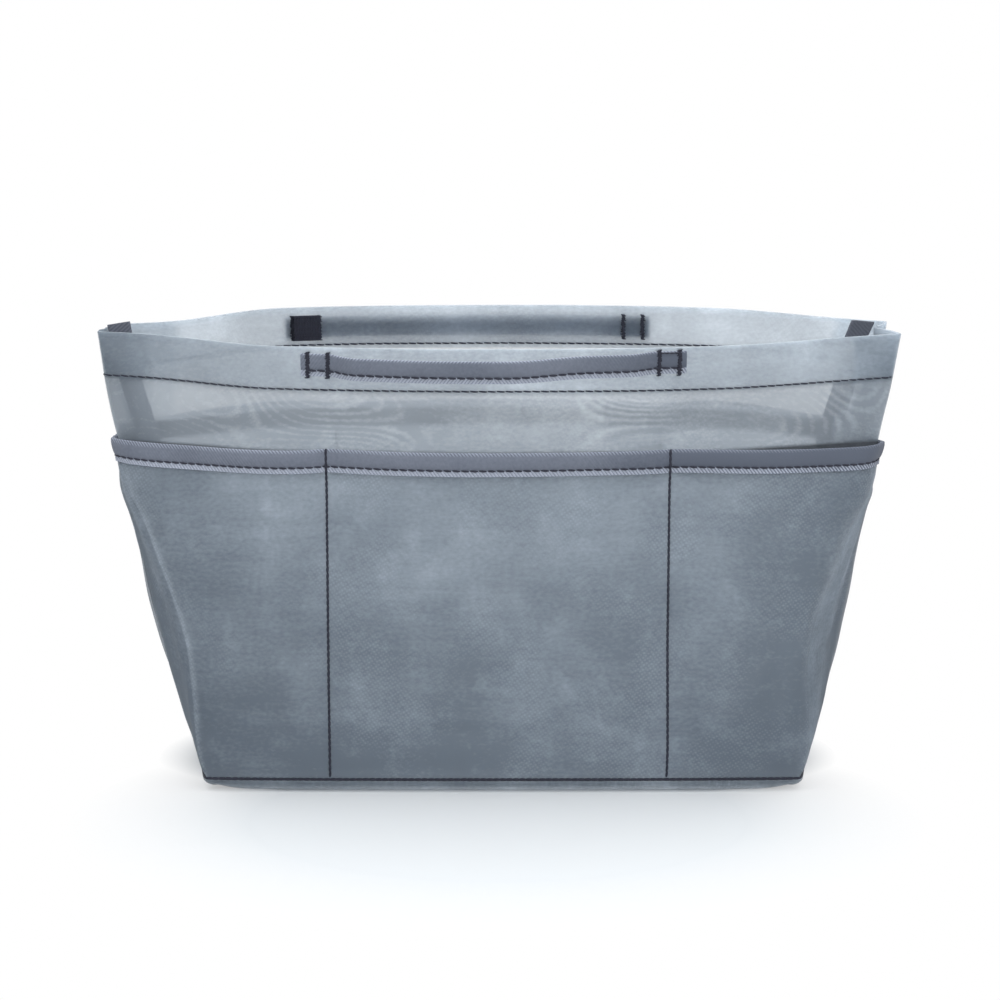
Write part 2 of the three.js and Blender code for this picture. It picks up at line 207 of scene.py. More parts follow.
def drape(girth, z):
    """How far the cloth waves in and out as it stands. It lies still along the bottom seam."""
    x = girth * GIRTH_LENGTH
    rising = ramp(z, SEAM, STILL_HEIGHT)
    calm = 1 - HEM_CALM * ramp(z, POCKET_TOP, RIM - POCKET_TOP)
    return rising * calm * sum(depth * waves(x, z, length, seed) for depth, length, seed in DRAPE_WAVES)


def place(girth, z, distance):
    """Points a distance outside the front half's cloth."""
    girth, z, distance = np.broadcast_arrays(np.asarray(girth, float), z, distance)
    here = outline(girth, z)
    step = 0.0006
    run = unit(outline(shifted(girth, z, step), z) - outline(shifted(girth, z, -step), z))
    out = np.stack([run[..., 1], -run[..., 0]], -1)
    flat = here + out * (distance + drape(girth, z))[..., None]
    return np.concatenate([flat, z[..., None]], -1)


def girth_at(x, z):
    """The girth of a place on the wall."""
    reach = np.abs(x)
    share = (reach - DIVIDER_X) / (through(CORNER, z) - DIVIDER_X)
    far = DIVIDER_GIRTH + (1 - DIVIDER_GIRTH) * share
    return np.sign(x) * np.where(reach <= DIVIDER_X, reach / DIVIDER_X * DIVIDER_GIRTH, far)


# How far the bag in the photograph stands away from the straight outline
LEFT_HEEL_IN = 0.002
RIGHT_SPREAD = 0.0038
LEFT_TUCK = 0.006
RIGHT_TUCK = 0.013
HOLLOW = 0.001  # of the side seams below the tuck
LEFT_SHOULDER = 0.0008  # below the binding
RIGHT_SHOULDER = 0.0012
SEAM_LEAN = 0.0033
BACK_LEFT_IN = 0.009
BACK_RIGHT_IN = 0.003
RIGHT_OUT = 0.0016
LEFT_LIFT = 0.0018
RIGHT_LIFT = 0.0009
MOUTH_DROP = 0.001  # at the right end of the pocket mouth
MOUTH_IN = 0.0006  # at both ends of the pocket mouth
MOUTH_RISE = 0.0008  # in the middle of the pocket mouth
BACK_RISE = 0.0018
BACK_ROW_UP = 0.0009

# How far the ends close and come forward at the pocket mouth, and how that changes up to the rim
CLOSED, LEFT_CLOSING, RIGHT_CLOSING = 0.25, 0.20, -0.10
LEFT_FORWARD, RIGHT_FORWARD, RIM_FORWARD = 0.004, 0.005, 0.003

# Where each of these starts, and over what length it grows or fades
FOOT = (0.012, 0.055)
HEEL = (0.0, 0.02)
HOLLOW_ON, HOLLOW_OFF = (0.062, 0.02), (0.099, 0.009)
SHOULDER_ON, SHOULDER_OFF = (0.104, 0.008), (0.118, 0.009)
TUCK_BOTTOM = 0.104
TUCK = (TUCK_BOTTOM, POCKET_TOP - TUCK_BOTTOM)
TO_HEM = (BINDING_BOTTOM, HEM_BOTTOM - BINDING_BOTTOM)
TO_RIM = (BINDING_BOTTOM, RIM - BINDING_BOTTOM)
ABOVE_MOUTH = (POCKET_TOP, 0.022)
BAG_END = (0.085, 0.06)
RIGHT_FOOT = (0.05, 0.06)
LEFT_FOOT = (0.06, 0.05)


def posture(points):
    """How this bag really stands: its lower end spreads to the right, its gussets are tucked in at the pocket
    mouths, its back corners come in and forward, and its back stands a little higher than its front."""
    x, y, z = np.moveaxis(points, -1, 0)
    left = x < 0
    foot, heel = 1 - ramp(z, *FOOT), 1 - ramp(z, *HEEL)
    mouth, hem, rise = ramp(z, *TUCK), ramp(z, *TO_HEM), ramp(z, *TO_RIM)
    end = ramp(np.abs(x), *BAG_END)
    back = smooth(y / DEPTH[-1])
    seam = np.clip(1 - np.abs(y) / through(DEPTH, z), 0, 1)

    stand_in = rise * back * np.where(left, BACK_LEFT_IN, -BACK_RIGHT_IN)
    tuck = seam * (mouth - rise) * np.where(left, LEFT_TUCK, -RIGHT_TUCK)
    waist = ramp(z, *HOLLOW_ON) - ramp(z, *HOLLOW_OFF)
    hollow = seam * waist * np.where(left, HOLLOW, -HOLLOW)
    lean = -SEAM_LEAN * seam * rise
    below = ramp(z, *SHOULDER_ON) - ramp(z, *SHOULDER_OFF)
    shoulder = below * np.where(left, -LEFT_SHOULDER, RIGHT_SHOULDER)
    draw = MOUTH_IN * (mouth - rise)
    widen = np.where(left, draw, RIGHT_OUT * rise - draw)
    spread = RIGHT_SPREAD * foot * (1 - heel / 2) * ramp(x, *RIGHT_FOOT)
    spread = spread + LEFT_HEEL_IN * heel * ramp(-x, *LEFT_FOOT)
    across = end * (stand_in + tuck + hollow + lean + shoulder + widen) + spread

    closed = CLOSED + np.where(left, LEFT_CLOSING, RIGHT_CLOSING) * rise
    forward = np.where(left, LEFT_FORWARD + RIM_FORWARD * rise, RIGHT_FORWARD - RIM_FORWARD * rise)
    deep = -end * mouth * (closed * y + forward)

    level = np.where(left, LEFT_LIFT * rise, RIGHT_LIFT * rise - MOUTH_DROP * (1 - rise))
    bow = MOUTH_RISE * (mouth - ramp(z, *ABOVE_MOUTH)) + BACK_RISE * hem * back
    up = end * mouth * level + (1 - end) * bow
    return points + np.stack([across, deep, up], -1)


def half_turn(points):
    return points * np.array([-1, -1, 1])


def back_posture(points):
    """The front turned round to the back."""
    return posture(half_turn(points))


# Meshes

SHARP_ANGLE = math.radians(50)


def add_object(name, data):
    thing = bpy.data.objects.new(name, data)
    bpy.context.scene.collection.objects.link(thing)
    return thing


def add_mesh(name, points, faces, material, layers=None):
    mesh = bpy.data.meshes.new(name)
    mesh.from_pydata(points.reshape(-1, 3).tolist(), [], faces)
    mesh.update()
    if signed_volume(mesh) < 0:
        mesh.flip_normals()
    loops = np.zeros(len(mesh.loops), int)
    mesh.loops.foreach_get("vertex_index", loops)
    for key, values in (layers or {}).items():
        layer = mesh.uv_layers.new(name=key)
        layer.uv.foreach_set("vector", values.reshape(-1, 2)[loops].astype(np.float32).ravel())
    mesh.polygons.foreach_set("use_smooth", [True] * len(mesh.polygons))
    mesh.set_sharp_from_angle(angle=SHARP_ANGLE)
    mesh.materials.append(material)
    return add_object(name, mesh)


def signed_volume(mesh):
    """The volume, below 0 where the faces look inward."""
    solid = bmesh.new()
    solid.from_mesh(mesh)
    volume = solid.calc_volume(signed=True)
    solid.free()
    return volume


def run_lengths(points, axis):
    """How far along an axis of the grid each point lies."""
    steps = np.linalg.norm(np.diff(points, axis=axis), axis=-1)
    first = np.zeros_like(np.take(steps, [0], axis=axis))
    return np.concatenate([first, np.cumsum(steps, axis=axis)], axis=axis)


def quads(here, after):
    """The faces from rings to the rings after them."""
    corners = [here, after, np.roll(after, -1, -1), np.roll(here, -1, -1)]
    return np.stack(corners, -1).reshape(-1, 4).tolist()


def loft(name, rings, material, endless=False, girths=None, flat=False):
    """A closed mesh through rings. Each ring runs along one face and comes back along the other. The layer
    cloth holds lengths along and across the piece, or its plan if it lies flat, and lay girth and height."""
    count, around = rings.shape[:2]
    index = np.arange(count * around).reshape(count, around)
    here = index if endless else index[:-1]
    after = np.roll(index, -1, 0) if endless else index[1:]
    faces = quads(here, after)
    if not endless:
        k = np.arange(around // 2 - 1)
        for ring, way in ((index[0], 1), (index[-1], -1)):
            cap = np.stack([ring[k], ring[k + 1], ring[around - 2 - k], ring[around - 1 - k]], -1)
            faces += cap[:, ::way].tolist()
    face = rings[:, :around // 2]
    u = run_lengths(face, 0)
    u = u - u[count // 2]
    v = run_lengths(face, 1)
    cloth = np.stack([u, v], -1)
    layers = {"cloth": rings[..., :2] if flat else np.concatenate([cloth, cloth[:, ::-1]], 1)}
    if girths is not None:
        turn = np.broadcast_to(girths[:, None], rings.shape[:2])
        layers["lay"] = np.stack([turn, rings[..., 2]], -1)
    return add_mesh(name, rings, faces, material, layers)


def ribbon(path, thickness):
    """Rings round paths of (distance, height), half the thickness to each side."""
    step = unit(np.gradient(path, axis=-2))
    aside = np.stack([-step[..., 1], step[..., 0]], -1) * thickness / 2
    return np.concatenate([path - aside, (path + aside)[..., ::-1, :]], axis=-2)


def wrapped(girths, sections):
    """Rings round the cloth from sections of (distance, z), one for each girth."""
    return place(girths[:, None], sections[..., 1], sections[..., 0])


def arc(centre, radius, start, end, steps):
    """Points of (distance, height) round part of a circle, with angles from the outward direction."""
    turn = np.linspace(start, end, steps)
    return np.stack([centre[0] + radius * np.cos(turn), centre[1] + radius * np.sin(turn)], -1)


def sew(name, starts, ends, outs, radius=THREAD, lift=STITCH_ARCH):
    """Strands of thread from each start to each end, arched off the cloth."""
    rings, sides = 5, 6
    t = np.linspace(0, 1, rings)[None, :, None]
    line = starts[:, None] + (ends - starts)[:, None] * t + outs[:, None] * lift * np.sin(math.pi * t)
    run = unit(ends - starts)
    across = np.cross(run, outs)
    up = np.cross(across, run)
    swell = np.sin(math.pi * np.linspace(STITCH_CUT, 1 - STITCH_CUT, rings))
    thin = radius * (STITCH_TIP + (1 - STITCH_TIP) * swell)
    turn = np.linspace(0, 2 * math.pi, sides, endpoint=False)
    spoke = across[:, None, None] * np.cos(turn)[None, None, :, None]
    spoke = spoke + up[:, None, None] * np.sin(turn)[None, None, :, None]
    points = line[:, :, None] + spoke * thin[None, :, None, None]
    index = np.arange(points.size // 3).reshape(points.shape[:3])
    faces = quads(index[:, :-1], index[:, 1:])
    faces += index[:, 0].tolist() + index[:, -1, ::-1].tolist()
    return add_mesh(name, points, faces, THREAD_LOOK)


def stitch_row(path, outs, length=STITCH, gap=STITCH_GAP, slant=STITCH_SLANT):
    """Starts, ends and outward directions of the stitches of a row along a path."""
    run = run_lengths(path, 0)
    count = max(int(run[-1] / (length + gap)), 1)
    pitch = run[-1] / count
    first = np.arange(count) * pitch + gap / 2

    def along(s, values):
        return np.stack([np.interp(s, run, values[:, k]) for k in range(3)], -1)

    starts, ends = along(first, path), along(first + pitch - gap, path)
    out = unit(along(first + pitch / 2, outs))
    across = unit(np.cross(ends - starts, out))
    return starts - across * slant, ends + across * slant, out


def cloth_row(girths, z, distance, way=1):
    """A path along the cloth at a distance, and the directions out of it, or into it for a way of -1."""
    near = place(girths, z, distance)
    return near, place(girths, z, distance + way * OUTWARD) - near


# Materials

class Nodes:
    """The node tree of a material or world, with short ways to add and join nodes."""

    def __init__(self, owner):
        self.owner = owner
        owner.use_nodes = True
        self.tree = owner.node_tree
        self.shader = self.tree.nodes.get("Principled BSDF") or self.tree.nodes["Background"]

    def add(self, kind, inputs=None, **settings):
        node = self.tree.nodes.new(kind)
        for key, value in settings.items():
            setattr(node, key, value)
        for key, value in (inputs or {}).items():
            self.feed(node.inputs[key], value)
        return node

    def feed(self, socket, value):
        if isinstance(value, bpy.types.NodeSocket):
            self.tree.links.new(value, socket)
        else:
            socket.default_value = value

    def set(self, **inputs):
        for key, value in inputs.items():
            self.feed(self.shader.inputs[key.replace("_", " ")], value)

    def show(self, shader):
        self.feed(self.tree.nodes["Material Output"].inputs["Surface"], shader)

    def math(self, operation, a, b=0.0, c=0.0):
        return self.add("ShaderNodeMath", {0: a, 1: b, 2: c}, operation=operation).outputs[0]

    def times(self, product, *factors):
        for factor in factors:
            product = self.math("MULTIPLY", product, factor)
        return product

    def added(self, part, share, total):
        return self.math("MULTIPLY_ADD", part, share, total)

    def mapped(self, value, low_out, high_out, low_in=0.0, high_in=1.0):
        ends = {"From Min": low_in, "From Max": high_in, "To Min": low_out, "To Max": high_out}
        return self.add("ShaderNodeMapRange", {"Value": value, **ends}).outputs["Result"]

    def rising(self, value, start, end):
        return self.mapped(value, 0.0, 1.0, start, end)

    def falling(self, value, start, end):
        return self.mapped(value, 1.0, 0.0, start, end)

    def noise(self, vector, scale, detail=3.0, roughness=0.5):
        inputs = {"Vector": vector, "Scale": scale, "Detail": detail, "Roughness": roughness}
        return self.add("ShaderNodeTexNoise", inputs).outputs["Fac"]

    def woven_noise(self, u, v, along, up, **settings):
        """Noise with a scale of its own along and up the cloth."""
        scaled = {0: self.times(u, along), 1: self.times(v, up)}
        return self.noise(self.add("ShaderNodeCombineXYZ", scaled).outputs[0], 1.0, **settings)

    def about(self, value, strength):
        """A noise value moved to lie about 0."""
        return self.times(self.math("SUBTRACT", value, 0.5), strength)

    def mixed(self, factor, a, b):
        node = self.add("ShaderNodeMix", data_type="RGBA")
        self.feed(node.inputs["Factor"], factor)
        self.feed(node.inputs[6], a)
        self.feed(node.inputs[7], b)
        return node.outputs[2]

    def blended(self, factor, a, b):
        """One shader mixed with another."""
        return self.add("ShaderNodeMixShader", {0: factor, 1: a, 2: b}).outputs[0]

    def bump(self, height, strength, distance):
        inputs = {"Strength": strength, "Distance": distance, "Height": height}
        return self.add("ShaderNodeBump", inputs).outputs[0]

    def spot(self):
        return self.add("ShaderNodeTexCoord").outputs["Object"]

    def parts(self, vector):
        return self.add("ShaderNodeSeparateXYZ", {0: vector}).outputs

    def layer(self, name):
        """The two coordinates of a UV layer."""
        u, v, _ = self.parts(self.add("ShaderNodeUVMap", uv_map=name).outputs[0])
        return u, v

    def oval(self, spot, y, half_width, half_depth):
        """How far out a spot of the floor is from an oval about (0, y), whose edge is at 1."""
        across = self.math("DIVIDE", spot[0], half_width)
        along = self.math("DIVIDE", self.math("SUBTRACT", spot[1], y), half_depth)
        square = self.math("ADD", self.times(across, across), self.times(along, along))
        return self.math("SQRT", square)

    def seen(self):
        """1 for what the camera sees, also in gloss or through glass, and 0 for light that cloth scatters."""
        rays = self.add("ShaderNodeLightPath").outputs
        mirrored = self.math("MAXIMUM", rays["Is Glossy Ray"], rays["Is Transmission Ray"])
        mirrored = self.math("SUBTRACT", mirrored, rays["Is Diffuse Ray"])
        return self.math("MAXIMUM", rays["Is Camera Ray"], mirrored)

    def threads(self, u, v, period, run, rise):
        """A wave from 0 to 1 across slanting threads."""
        across = self.math("ADD", self.times(u, run), self.times(v, rise))
        return self.added(self.math("COSINE", self.times(across, 2 * math.pi / period)), 0.5, 0.5)


MESH_COLOUR = (0.17, 0.205, 0.25, 1)
MESH_PALE = (0.40, 0.455, 0.515, 1)
GLOW_COLOUR = (0.56, 0.605, 0.65, 1)  # light that comes through the yarn
GLOW_PALE = (0.90, 0.94, 0.975, 1)
TAPE_COLOUR = (0.088, 0.104, 0.140, 1)
TAPE_PALE = (0.330, 0.365, 0.445, 1)
SHADED_TAPE_COLOUR = (0.076, 0.084, 0.108, 1)  # the binding tape painted darker, for the shade on the tape inside the bag
SHADED_TAPE_PALE = (0.160, 0.173, 0.214, 1)
MOUTH_COLOUR = (0.05, 0.056, 0.066, 1)  # of the wall in the shade of the pocket mouth
THREAD_COLOUR = (0.010, 0.011, 0.019, 1)
THREAD_PALE = (0.030, 0.033, 0.052, 1)
TWILL = 0.0013  # from dot to dot of the cloth's twill
TWILL_RUN, TWILL_RISE = 0.83, 0.55
RIB = 0.00105  # from rib to rib of the tape's twill
RIB_RUN, RIB_RISE = 0.80, 0.60
RING_TURNS = 150.0  # of the ripples' phase over the range of their noise

# Where the cloth's zones begin and end: in y and x, round the girth, and in height
FRONT_HALF = (-0.006, 0.010)
LEFT_PART, RIGHT_PART = (-0.13, 0.02), (0.06, 0.12)
CREASE_WIDTH = (0.004, 0.022)
GUSSET_START = (0.99, 1.03)
FOLD_START = (0.868, 0.892)
SEAM_SIDE = (1.5, 1.9)
CREASE_END = (POCKET_TOP - 0.03, POCKET_TOP - 0.01)
FOLD_FOOT = (POCKET_TOP - 0.014, POCKET_TOP)
MOUTH_FOOT = (POCKET_TOP - 0.009, POCKET_TOP - 0.006)
MOUTH_END = (POCKET_TOP - 0.0008, POCKET_TOP + 0.0008)
WALL_FOOT = (POCKET_TOP - 0.01, POCKET_TOP)
RIPPLE_FOOT = (POCKET_TOP, POCKET_TOP + 0.006)
RIPPLE_END = (HEM_BOTTOM - 0.004, HEM_BOTTOM)
HEM_EDGE = (HEM_BOTTOM - 0.003, HEM_BOTTOM + 0.001)
RIM_HIGHLIGHT_EDGE = (RIM - 0.0014, RIM - 0.0004)
LOW_SHADE_HEIGHTS = (0.015, POCKET_TOP - 0.015)
BASE_TONE = 0.42
HEM_LIGHT_AND_SHADE = (-0.7, 0.3)  # painted shade below the hem's edge and painted light on the hem


def new_material(name):
    return Nodes(bpy.data.materials.new(name))


def cloth_zones(n, spot, girth, height):
    """Masks for the places where the cloth looks different."""
    x, y, _ = n.parts(spot)
    front = n.falling(y, *FRONT_HALF)
    left = n.times(front, n.falling(x, *LEFT_PART))
    right = n.times(front, n.rising(x, *RIGHT_PART))
    turn = n.math("ABSOLUTE", girth)
    crease = n.falling(n.math("ABSOLUTE", n.math("SUBTRACT", turn, 1.0)), *CREASE_WIDTH)
    crease = n.times(crease, n.falling(height, *CREASE_END))
    gusset = n.rising(turn, *GUSSET_START)
    wander = n.added(n.about(n.noise(spot, 40.0, detail=1.0), 0.08), 1.0, turn)
    folded = n.times(n.rising(wander, *FOLD_START), n.rising(height, *FOLD_FOOT), n.mapped(left, 1.0, 0.5))
    # Painted shade below the hem's edge and painted light on the hem, above the pocket mouth.
    hem = n.times(n.mapped(height, *HEM_LIGHT_AND_SHADE, *HEM_EDGE), n.rising(height, *WALL_FOOT))
    return SimpleNamespace(
        left=left, right=right, crease=crease, gusset=gusset, folded=folded, hem=hem,
        lit_crease=n.times(crease, left),
        # painted light on the gussets, with painted shade on the front left one
        side=n.times(gusset, n.math("SUBTRACT", 0.6, left)),
        edge=n.rising(turn, *SEAM_SIDE),
        # painted highlight along the rim's fold
        rim=n.rising(height, *RIM_HIGHLIGHT_EDGE),
    )


def cloth_marks(n, spot, u, v, height, crease):
    """Uneven yarn, crinkles, flecks, the twill's dots in patches and creases, and ripples between layers."""
    cloud = n.noise(spot, 22.0, detail=4.0, roughness=0.6)
    valley = n.woven_noise(u, v, along=34.0, up=26.0, detail=2.0, roughness=0.4)
    valley = n.math("ABSOLUTE", n.about(valley, 1.0))
    crinkle = n.times(n.falling(valley, 0.0, 0.04), n.rising(cloud, 0.42, 0.6))
    patch = n.rising(n.noise(spot, 30.0, detail=2.0), 0.46, 0.62)
    rise = n.threads(u, v, TWILL, TWILL_RUN, TWILL_RISE)
    fall = n.threads(u, v, TWILL, TWILL_RISE, -TWILL_RUN)
    dots = n.times(rise, fall, n.math("MAXIMUM", patch, crease))
    rings = n.woven_noise(u, v, along=16.0, up=36.0, detail=0.0)
    rings = n.math("SINE", n.times(rings, RING_TURNS))
    spread = n.rising(n.noise(spot, 17.0, detail=0.0), 0.46, 0.58)
    ripple = n.times(rings, spread, n.rising(height, *RIPPLE_FOOT), n.falling(height, *RIPPLE_END))
    return SimpleNamespace(
        cloud=cloud, crinkle=crinkle, dots=dots, ripple=ripple,
        streak=n.woven_noise(u, v, along=26.0, up=250.0),
        grain=n.woven_noise(u, v, along=480.0, up=760.0, detail=2.0),
        fleck=n.rising(n.noise(spot, 85.0, roughness=0.62), 0.55, 0.72),
    )


def mesh_material(
    name, low_cover, high_cover, glow_share, dot_share, corner_cover, low_shade,
    left_shade=0.0, right_shade=0.0, mouth_shade=0.0,
):
    """Sheer cloth. Its cover is the share of each face that the yarn takes up, and the glow share is how much
    of that passes light on. It is closer at its gussets and the corners they are folded against. The low
    shade is painted shade: how much deeper its colour is at the floor. The left, right and mouth shades are
    painted shade at its ends and in the pocket mouth."""
    n = new_material(name)
    u, v = n.layer("cloth")
    girth, height = n.layer("lay")
    spot = n.spot()
    zones = cloth_zones(n, spot, girth, height)
    marks = cloth_marks(n, spot, u, v, height, zones.crease)

    tone = n.math("ADD", n.about(marks.cloud, 1.3), n.about(marks.streak, 0.35))
    tone = n.math("ADD", tone, n.about(marks.grain, 0.7))
    # Painted light and shade among these: a highlight on the rim, a lit line down the left crease, shade on
    # the front's left and right ends, the gussets lit but the front left one shaded, and the hem lit above a
    # shaded band. The cloth is also darker towards the side seams.
    for part, share in (
        (marks.dots, dot_share), (marks.ripple, 0.2), (marks.fleck, 0.2), (zones.rim, 0.1),
        (zones.lit_crease, 0.3), (zones.left, -left_shade), (zones.side, 0.42), (zones.edge, -0.4),
        (zones.hem, 0.28), (zones.right, -right_shade), (marks.crinkle, 0.09),
    ):
        tone = n.added(part, share, tone)
    # Painted shade: the colour deepens towards the floor.
    tone = n.math("ADD", tone, n.mapped(height, BASE_TONE - low_shade, BASE_TONE, *LOW_SHADE_HEIGHTS))
    mouth = n.times(n.mapped(height, mouth_shade, 0.0, *MOUTH_END), n.rising(height, *MOUTH_FOOT))

    relief = n.times(n.noise(spot, 95.0), 1.6)
    relief = n.added(marks.dots, 0.1, relief)
    relief = n.added(marks.crinkle, 0.5, relief)
    bump = n.bump(relief, strength=0.35, distance=0.001)
    n.set(Base_Color=n.mixed(mouth, n.mixed(tone, MESH_COLOUR, MESH_PALE), MOUTH_COLOUR))
    n.set(Normal=bump, Roughness=n.mapped(marks.cloud, 0.42, 0.6, 0.3, 0.7))
    n.set(Specular_IOR_Level=0.25, Sheen_Weight=0.05, Sheen_Roughness=0.4)
    through_yarn = {"Color": n.mixed(tone, GLOW_COLOUR, GLOW_PALE), "Normal": bump}
    glow = n.add("ShaderNodeBsdfTranslucent", through_yarn).outputs[0]
    yarn = n.blended(n.mapped(mouth, glow_share, 0.0), n.shader.outputs[0], glow)

    cover = n.mapped(tone, low_cover, high_cover)
    cover = n.added(n.math("MAXIMUM", zones.gusset, zones.folded), corner_cover, cover)
    # The painted highlight on the rim's fold also closes its cover a little.
    cover = n.added(zones.rim, 0.06, cover)
    cover = n.added(mouth, 0.4, cover)
    gap = n.add("ShaderNodeBsdfTransparent").outputs[0]
    n.show(n.blended(cover, gap, yarn))
    return n.owner


# Where the tape's lip ends and its fold begins across it, and where the painted shade at its right end begins
# and ends in x
LIP_END = (ROW_INSET - 0.0003, ROW_INSET + 0.0003)
FOLD_EDGE = (BINDING_WIDTH - 0.0009, BINDING_WIDTH - 0.0002)
RIGHT_TAPE_SHADE = (0.03, 0.13)
TAPE_TONE = 0.07


def tape_material(name, colour, pale):
    """Folded twill tape, smooth along its middle, with clear ribs on its lip and fold."""
    n = new_material(name)
    u, v = n.layer("cloth")
    spot = n.spot()
    rib = n.threads(u, v, RIB, RIB_RUN, RIB_RISE)
    lip = n.falling(v, *LIP_END)
    fold = n.mapped(v, 0.0, 0.6, *FOLD_EDGE)
    patch = n.mapped(n.noise(spot, 18.0, detail=2.0), 0.0, 0.22, 0.55, 0.72)
    clear = n.math("MAXIMUM", n.math("MAXIMUM", lip, fold), patch)
    fuzz = n.noise(spot, 900.0, detail=2.0)
    # Wear at random, and painted shade over the tape's right end.
    wear_and_right_shade = n.about(n.noise(spot, 40.0), 0.4)
    wear_and_right_shade = n.added(n.rising(n.parts(spot)[0], *RIGHT_TAPE_SHADE), -0.55, wear_and_right_shade)
    # A paler lip, and a painted highlight along the fold.
    pale_lip_and_fold_highlight = n.math("MAXIMUM", lip, n.times(fold, 0.3))
    tone = n.added(pale_lip_and_fold_highlight, 0.8, wear_and_right_shade)
    tone = n.math("ADD", n.added(fuzz, 0.25, tone), TAPE_TONE)
    tone = n.added(n.about(rib, 1.0), clear, tone)
    n.set(Base_Color=n.mixed(tone, colour, pale))
    relief = n.times(rib, n.times(clear, clear))
    relief = n.added(fuzz, 0.25, relief)
    n.set(Normal=n.bump(relief, strength=0.6, distance=0.0003), Roughness=n.mapped(fuzz, 0.62, 0.85))
    n.set(Specular_IOR_Level=0.3, Sheen_Weight=0.1, Sheen_Roughness=0.5)
    return n.owner


def thread_material():
    n = new_material("sewing_thread")
    fuzz = n.noise(n.spot(), 1500.0, detail=2.0)
    n.set(Base_Color=n.mixed(fuzz, THREAD_COLOUR, THREAD_PALE))
    n.set(Normal=n.bump(fuzz, strength=0.4, distance=0.0001), Roughness=n.mapped(fuzz, 0.5, 0.75))
    n.set(Specular_IOR_Level=0.3)
    return n.owner


MESH = mesh_material(
    "sheer_mesh", low_cover=0.43, high_cover=0.55, glow_share=0.84, dot_share=0.12, corner_cover=0.18,
    low_shade=0.0, left_shade=0.40, right_shade=0.14, mouth_shade=0.9,
)
CLOSER = {"low_cover": 0.60, "high_cover": 0.76, "glow_share": 0.62, "dot_share": 0.3}
# The pocket cloth's low shade paints it darker towards the floor.
POCKET_MESH = mesh_material("pocket_mesh", **CLOSER, corner_cover=0.12, low_shade=0.40, right_shade=0.16)
FLOOR_MESH = mesh_material("floor_mesh", **CLOSER, corner_cover=0.0, low_shade=0.0)
TAPE_LOOK = tape_material("twill_tape", TAPE_COLOUR, TAPE_PALE)
# The same tape painted darker, as painted shade for its place inside the bag.
SHADED_SEAM_TAPE_LOOK = tape_material("seam_tape", SHADED_TAPE_COLOUR, SHADED_TAPE_PALE)
THREAD_LOOK = thread_material()


def settle(piece, *nodes, body="organizer"):
    """The piece stands for these nodes and rides on a body, or on none if it is blended between two."""
    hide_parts(*nodes)
    if body:
        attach(piece, body)


# Walls and pockets
CENTRE_STEPS, SIDE_STEPS, GUSSET_STEPS = 64, 44, 14
SIDE_GIRTHS = np.concatenate([
    np.linspace(DIVIDER_GIRTH, 1, SIDE_STEPS + 1)[1:],
    np.linspace(1, 2, GUSSET_STEPS + 1)[1:],
])
CENTRE_GIRTHS = np.linspace(-DIVIDER_GIRTH, DIVIDER_GIRTH, CENTRE_STEPS + 1)
GIRTHS = np.concatenate([-SIDE_GIRTHS[::-1], CENTRE_GIRTHS, SIDE_GIRTHS])
SEAM_PINCH = 0.0009
PINCH_HEIGHT = 0.0022
WALL_STEPS = 62
WALL_CROWDING = 1.15  # brings the steps closer together towards the floor
RIM_STEPS = 9
HEM_STEPS = 10
HEM_TAPER = 0.004  # the length in which the hem runs out at a side seam
HEM_LEAST = 0.05  # the share of its height that it has left there


def pinch(z):
    """How far the cloth draws in along the bottom seam."""
    return SEAM_PINCH * np.exp(-((z - SEAM) / PINCH_HEIGHT) ** 2)


def sheet(name, sections, turn, look, *nodes):
    """A cloth round half the bag through sections of (distance, z), cut to its unrolled outline."""
    rings = turn(wrapped(GIRTHS, ribbon(sections, CLOTH)))
    piece = loft(name, rings, look, girths=GIRTHS)
    settle(piece, *nodes)


def wall_cloth(face, turn):
    """A wall with its half gussets and the hem turned in at the rim, in one cloth."""
    fold_z = RIM - HEM_FOLD
    z = WALL_BOTTOM + (fold_z - WALL_BOTTOM) * np.linspace(0, 1, WALL_STEPS) ** WALL_CROWDING
    wall = np.stack([-CLOTH / 2 - pinch(z), z], -1)
    over = arc((-CLOTH / 2 - HEM_FOLD, fold_z - CLOTH / 2), HEM_FOLD, 0, math.pi, RIM_STEPS)[1:-1]
    down = np.linspace(0, 1, HEM_STEPS)
    sections = []
    gusset = math.hypot(DEPTH[-1], SIDE_SEAM[-1] - CORNER[-1])
    for girth in GIRTHS:
        reach = min(max((2 - abs(girth)) * gusset / HEM_TAPER, HEM_LEAST), 1)
        hem_z = fold_z - (fold_z - HEM_BOTTOM) * reach * down
        hem = np.stack([np.full(HEM_STEPS, -CLOTH / 2 - 2 * HEM_FOLD), hem_z], -1)
        sections.append(np.concatenate([wall, over, hem]))
    sheet(f"{face}_cloth", np.array(sections), turn, MESH, f"{face}_body", f"{face}_hem")


@dataclass
class Mouth:
    """How far a pocket's mouth stands open at each place. A skew above 1 brings the widest place at the right
    nearer to the corner."""
    left: float
    middle: float
    right: float
    gusset: float
    skew: float = 1


MOUTHS = {
    "front": Mouth(left=0.0055, middle=0.0045, right=0.0085, gusset=0.0015, skew=2),
    "back": Mouth(left=0.0095, middle=0.0065, right=0.0095, gusset=0.0025),
}
GAPE_POWER = 4
SWELL_POWER = 0.7
TAPE_ROOM = 0.0009  # how much further from the wall the pocket cloth is at its binding
POCKET_STEPS = 48
POCKET_EDGE = 0.002  # from the binding's fold down to the cloth's edge in it


